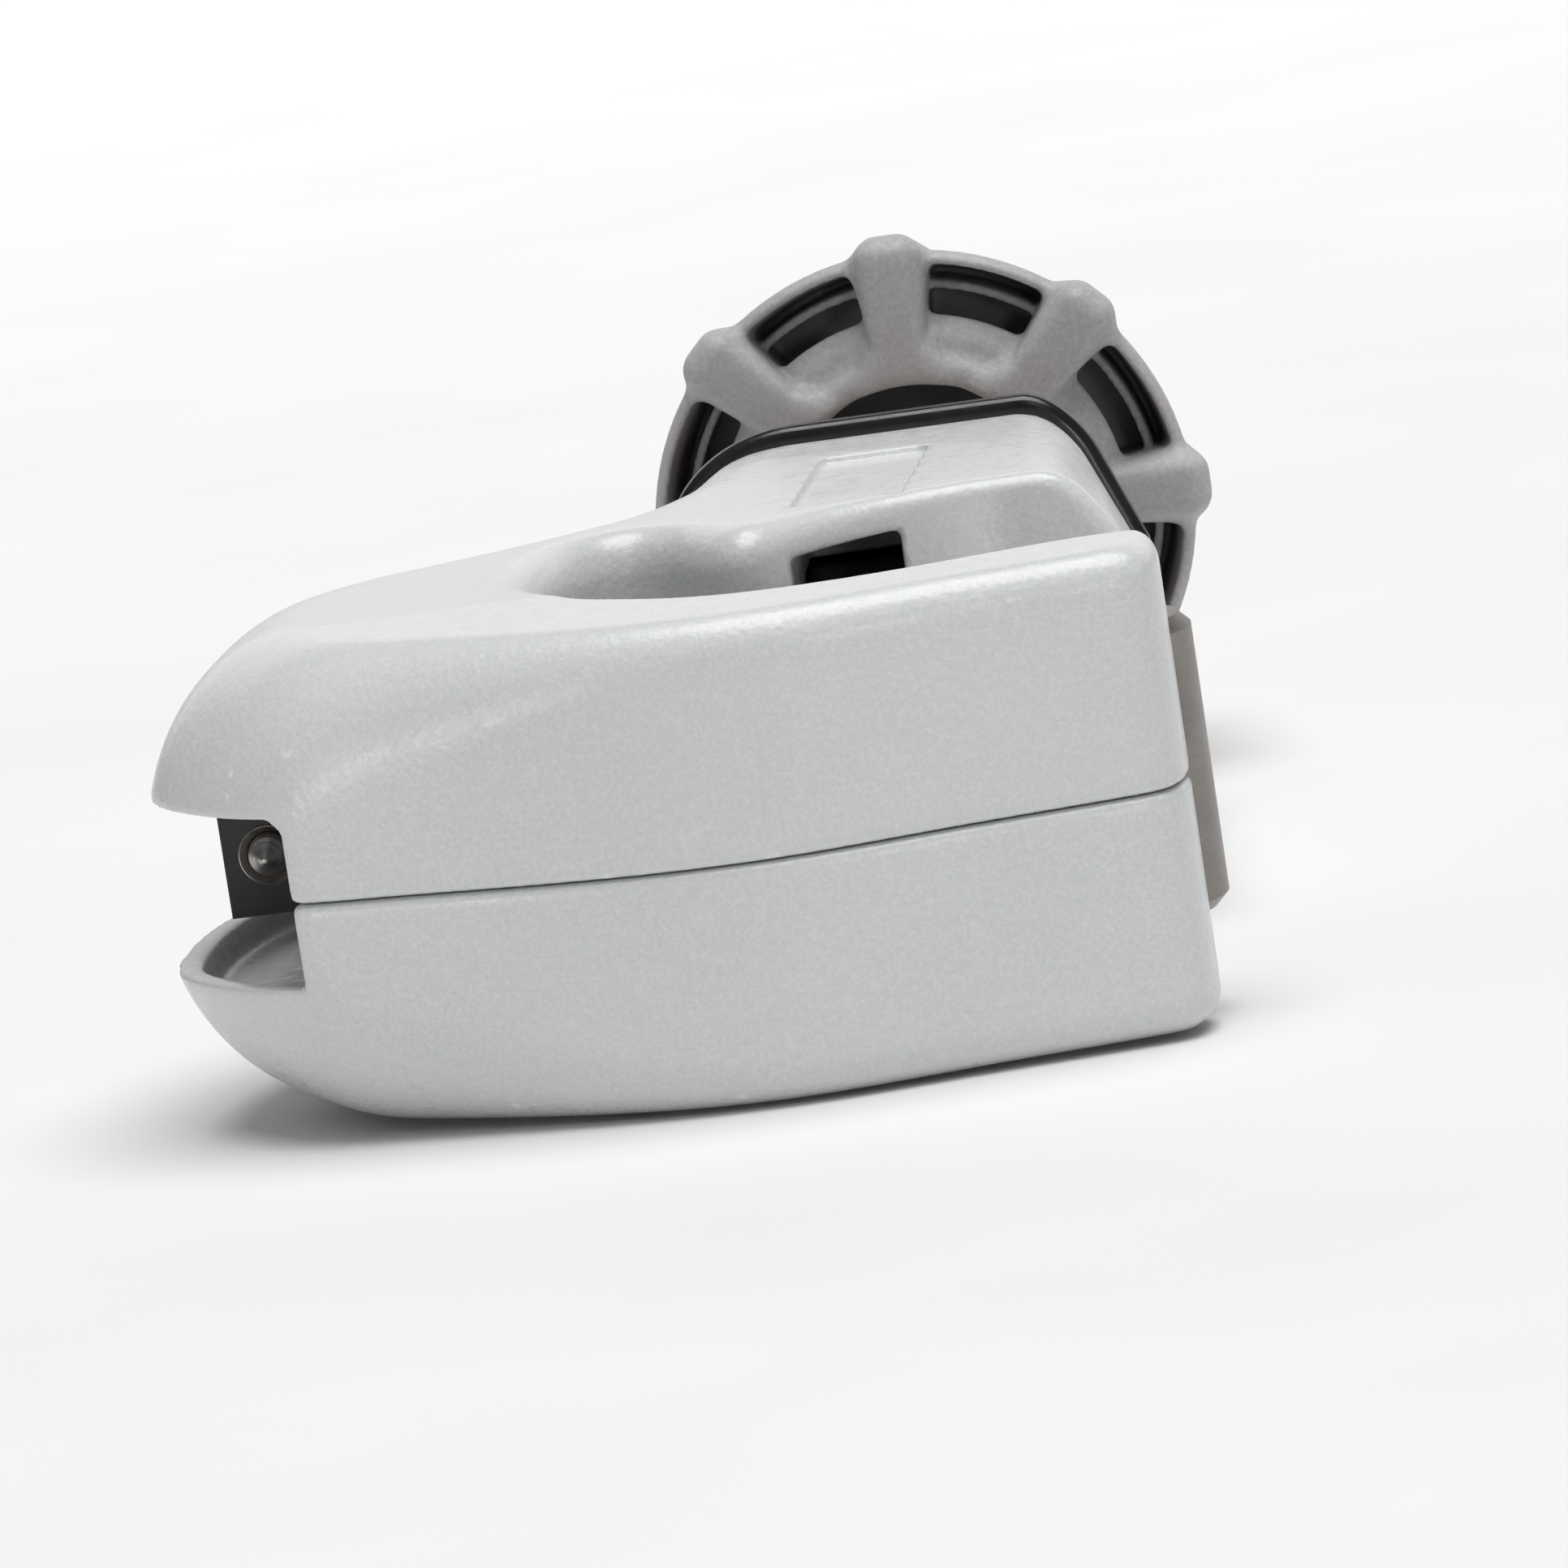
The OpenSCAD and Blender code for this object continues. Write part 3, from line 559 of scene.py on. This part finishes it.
def paint_material(name):
    m = Mat(name)
    broad = m.noise(14, 3, 0.55)
    base = m.ramp(broad, [(0.3, (0.60, 0.616, 0.616)), (0.7, (0.635, 0.65, 0.648))])
    grain = m.noise(0.28, 3, 0.6)
    base = m.mix(m.range(grain, 0.42, 0.72, 0.0, 0.7), base, (0.72, 0.732, 0.73))
    # Light scuffs along the sharpest edges
    geo = m.t.nodes.new("ShaderNodeNewGeometry")
    edge = m.range(geo.outputs["Pointiness"], 0.55, 0.62, 0.0, 1.0)
    worn = m.math("MULTIPLY", edge, m.range(m.noise(0.9, 3, 0.6), 0.46, 0.6, 0.0, 0.8))
    base = m.mix(worn, base, (0.82, 0.83, 0.82))
    rough = m.range(m.noise(1.2, 3, 0.6), 0.3, 0.7, 0.24, 0.38)
    # Pebbled surface: fine orange peel with small raised dots
    peb = m.cells(0.5, "SMOOTH_F1")
    n1 = m.bump(m.noise(0.24, 2, 0.55), 0.7, 0.028)
    n2 = m.bump(peb.outputs["Distance"], 0.6, 0.05, n1)
    # The flat top and bottom are rubbed smoother
    flat = m.t.nodes.new("ShaderNodeSeparateXYZ")
    m.link(geo.outputs["Normal"], flat.inputs["Vector"])
    level = m.math("MULTIPLY", flat.outputs["Z"], flat.outputs["Z"])
    m.link(m.range(level, 0.55, 0.93, 0.7, 0.03), n1.node.inputs["Strength"])
    m.link(m.range(level, 0.55, 0.93, 0.7, 0.02), n2.node.inputs["Strength"])
    m.set(Base_Color=base, Roughness=rough, Normal=n2)
    m.b.inputs["Specular IOR Level"].default_value = 0.5
    m.b.inputs["Coat Weight"].default_value = 0.15
    m.b.inputs["Coat Roughness"].default_value = 0.28
    return m.m


def plastic_material(name):
    m = Mat(name)
    broad = m.noise(9, 3, 0.55)
    base = m.ramp(broad, [(0.3, (0.375, 0.364, 0.379)), (0.72, (0.42, 0.408, 0.423))])
    grain = m.noise(0.4, 3, 0.65)
    base = m.mix(m.range(grain, 0.42, 0.7, 0.0, 0.7), base, (0.52, 0.51, 0.523))
    sp = m.cells(0.8)
    speck = m.range(sp.outputs["Distance"], 0.06, 0.14, 1.0, 0.0)
    pick = m.range(m.noise(2.6, 1, 0.5), 0.52, 0.62, 0.0, 0.55)
    base = m.mix(m.math("MULTIPLY", speck, pick), base, (0.10, 0.098, 0.10))
    # Painted shade in the pockets under the front rim and inside the hub hole: a position mask takes their colour
    # down to near black
    ax = m.t.nodes.new("ShaderNodeVectorMath")
    ax.operation = "SUBTRACT"
    m.link(m.co, ax.inputs[0])
    ax.inputs[1].default_value = ((SHIFT[0]) * 0.001, (KNOB_Y + SHIFT[1]) * 0.001, SHIFT[2] * 0.001)
    xyz = m.t.nodes.new("ShaderNodeSeparateXYZ")
    m.link(ax.outputs["Vector"], xyz.inputs["Vector"])
    r2 = m.math("ADD", m.math("MULTIPLY", xyz.outputs["X"], xyz.outputs["X"]),
                m.math("MULTIPLY", xyz.outputs["Z"], xyz.outputs["Z"]))
    rad = m.math("POWER", r2, 0.5)
    drawn = m.math("ADD", rad, m.range(xyz.outputs["Y"], 0.003, 0.025, 0.0, 0.0044))
    inner = m.range(drawn, 0.0140, 0.0145, 0.0, 1.0)
    outer = m.range(drawn, 0.0180, 0.0185, 1.0, 0.0)
    deep = m.math("MULTIPLY", m.range(xyz.outputs["Y"], 0.0030, 0.0055, 0.0, 0.82),
                  m.range(xyz.outputs["Y"], 0.0085, 0.0095, 1.0, 0.0))
    hole = m.math("MULTIPLY", m.range(rad, 0.0094, 0.0099, 1.0, 0.0),
                  m.math("MULTIPLY", m.range(xyz.outputs["Y"], 0.003, 0.008, 0.0, 0.9),
                         m.range(xyz.outputs["Y"], 0.0148, 0.0158, 1.0, 0.0)))
    painted_shade = m.math("MAXIMUM", m.math("MULTIPLY", m.math("MULTIPLY", inner, outer), deep), hole)
    # painted shade: the pockets and the hub hole are mixed towards near black
    base = m.mix(painted_shade, base, (0.10, 0.097, 0.10))
    rough = m.range(m.noise(1.8, 3, 0.6), 0.3, 0.7, 0.5, 0.66)
    n1 = m.bump(m.noise(0.4, 3, 0.6), 0.5, 0.03)
    m.set(Base_Color=base, Roughness=rough, Normal=n1)
    return m.m


def gloss_material(name):
    m = Mat(name)
    base = m.ramp(m.noise(6, 3, 0.6), [(0.35, (0.010, 0.010, 0.011)), (0.7, (0.018, 0.018, 0.019))])
    rough = m.range(m.noise(1.6, 4, 0.6), 0.35, 0.75, 0.16, 0.34)
    n1 = m.bump(m.noise(1.2, 2, 0.5), 0.12, 0.02)
    m.set(Base_Color=base, Roughness=rough, Normal=n1)
    return m.m


def steel_material(name, dark, light, r0, r1, stretch=(1, 1, 1), size=1.2, metal=1.0):
    m = Mat(name)
    streak = m.noise(size, 4, 0.6, stretch)
    tone = m.noise(5.0, 3, 0.6)
    base = m.ramp(m.math("ADD", m.math("MULTIPLY", streak, 0.5), m.math("MULTIPLY", tone, 0.5)),
                  [(0.36, dark), (0.64, light)])
    rough = m.range(streak, 0.3, 0.7, r0, r1)
    n1 = m.bump(streak, 0.18, 0.012)
    m.set(Base_Color=base, Roughness=rough, Normal=n1, Metallic=metal)
    return m.m


MATS = {
    "frame_paint": paint_material("frame_paint_look"),
    "knob_plastic": plastic_material("knob_plastic_look"),
    "black_gloss": gloss_material("black_gloss_look"),
    "dark_screws": steel_material("dark_screws_look", (0.05, 0.05, 0.053), (0.10, 0.10, 0.105), 0.32, 0.5),
    "ground_steel": steel_material("ground_steel_look", (0.46, 0.46, 0.465), (0.62, 0.62, 0.625), 0.2, 0.34,
                                   (1, 1, 9), 1.6),
    "roller_steel": steel_material("roller_steel_look", (0.22, 0.205, 0.19), (0.33, 0.31, 0.29), 0.34, 0.5,
                                   (1, 1, 7), 1.4),
    "bronze": steel_material("bronze_look", (0.50, 0.33, 0.13), (0.66, 0.46, 0.20), 0.28, 0.42, (1, 6, 1), 1.4),
    "black_steel": steel_material("black_steel_look", (0.012, 0.012, 0.013), (0.03, 0.03, 0.032), 0.36, 0.52,
                                  (1, 1, 1), 1.0, 0.0),
    "thread_steel": steel_material("thread_steel_look", (0.40, 0.40, 0.41), (0.56, 0.56, 0.57), 0.24, 0.4,
                                   (1, 6, 1), 1.2),
    "turned_steel": steel_material("turned_steel_look", (0.46, 0.44, 0.42), (0.64, 0.62, 0.60), 0.3, 0.44,
                                   (1, 8, 1), 1.0),
}
for ob, slot in ((upper, "frame_paint"), (lower, "frame_paint"), (collar, "black_gloss"), (knob, "knob_plastic"),
                 (tip, "turned_steel"), (seat, "turned_steel")):
    ob.data.materials.clear()
    ob.data.materials.append(MATS[slot])
for part in frame["record"]["subparts"]:
    node = frame["nodes"].get(part["node"])
    if node is None:
        continue
    for s in node.material_slots:
        s.material = MATS[part["material_slot"]]


# ---------------------------------------------------------------- camera, floor, light
def camera_at(el, az, roll, f, scale, pixel, point):
    e, a, r = (math.radians(x) for x in (el, az, roll))
    back = np.array([math.sin(a) * math.cos(e), -math.cos(a) * math.cos(e), math.sin(e)])
    right = np.array([math.cos(a), math.sin(a), 0.0])
    up = np.cross(back, right)
    cr, cu = right * math.cos(r) - up * math.sin(r), right * math.sin(r) + up * math.cos(r)
    dist = f / scale
    x, y = (pixel[0] - 966) / f * dist, -(pixel[1] - 966) / f * dist
    place = (np.asarray(point) + SHIFT) - (cr * x + cu * y - back * dist)
    cam = bpy.data.objects.new("camera", bpy.data.cameras.new("camera"))
    cam.data.sensor_width = 36.0
    cam.data.lens = f / 1932.0 * 36.0
    cam.data.clip_start, cam.data.clip_end = 0.05, 20.0
    m = Matrix.Identity(4)
    for k in range(3):
        m[k][0], m[k][1], m[k][2], m[k][3] = cr[k], cu[k], back[k], place[k] * 0.001
    cam.matrix_world = m
    bpy.context.scene.collection.objects.link(cam)
    bpy.context.scene.camera = cam
    return cam


camera_at(10.5, 5.3, 8.6, 15000.0, 20.2, (1450, 968), (21.5, 0, 0))

# The knob's ribs reach lower than the frame, so the tool leans on both, and the floor meets it there
fy0, fz0 = -0.0675, 0.0049
fy1, fz1 = 0.0560, -0.0001
tilt = math.atan2(fz1 - fz0, fy1 - fy0)
me = bpy.data.meshes.new("floor")
n, half_size = 24, 1.6
gx = np.linspace(-half_size, half_size, n)
pts = [(x, y, 0.0) for y in gx for x in gx]
me.from_pydata(pts, [], [(j * n + i, j * n + i + 1, (j + 1) * n + i + 1, (j + 1) * n + i)
                         for j in range(n - 1) for i in range(n - 1)])
floor = bpy.data.objects.new("floor", me)
floor.rotation_euler = (tilt, 0, 0)
floor.location = (0, fy1, fz1 - 0.0001)
bpy.context.scene.collection.objects.link(floor)
fm = Mat("floor_look")
fm.set(Base_Color=fm.ramp(fm.noise(60, 2, 0.5), [(0.3, (0.80, 0.80, 0.80)), (0.7, (0.83, 0.83, 0.83))]),
       Roughness=fm.range(fm.noise(20, 2, 0.5), 0.3, 0.7, 0.75, 0.85))
floor.data.materials.append(fm.m)


def area(name, place, target, size, power, colour=(1, 1, 1), size_y=None):
    d = bpy.data.lights.new(name, "AREA")
    d.energy = power
    d.color = colour
    d.size = size
    if size_y:
        d.shape = "RECTANGLE"
        d.size_y = size_y
    o = bpy.data.objects.new(name, d)
    o.location = place
    o.rotation_euler = (Vector(target) - Vector(place)).to_track_quat("-Z", "Y").to_euler()
    bpy.context.scene.collection.objects.link(o)
    return o


sky = bpy.data.lights.new("top_light", "SUN")
sky.energy = 3.0
sky.angle = math.radians(50)
top = bpy.data.objects.new("top_light", sky)
top.location = (0.15, -0.05, 1.0)
top.rotation_euler = (-Vector((0.15, -0.05, 1.0))).to_track_quat("-Z", "Y").to_euler()
bpy.context.scene.collection.objects.link(top)
area("left_light", (-0.70, -0.88, 0.16), (-0.02, -0.06, 0.02), 0.18, 1.15, size_y=0.20)
area("front_light", (0.28, -0.80, 0.72), (0, -0.03, 0.02), 0.14, 0.3, size_y=0.22)
area("right_light", (0.44, -0.98, 0.15), (0.02, -0.06, 0.02), 0.14, 0.75, size_y=0.18)
area("back_light", (0, 1.3, 0.45), (0, 0, 0.05), 2.2, 4.8, size_y=0.8)

world = bpy.data.worlds.new("studio")
world.use_nodes = True
bpy.context.scene.world = world
bg = world.node_tree.nodes["Background"]
bg.inputs["Color"].default_value = (1, 1, 1, 1)
bg.inputs["Strength"].default_value = 0.10
bpy.context.scene.view_settings.view_transform = "Standard"
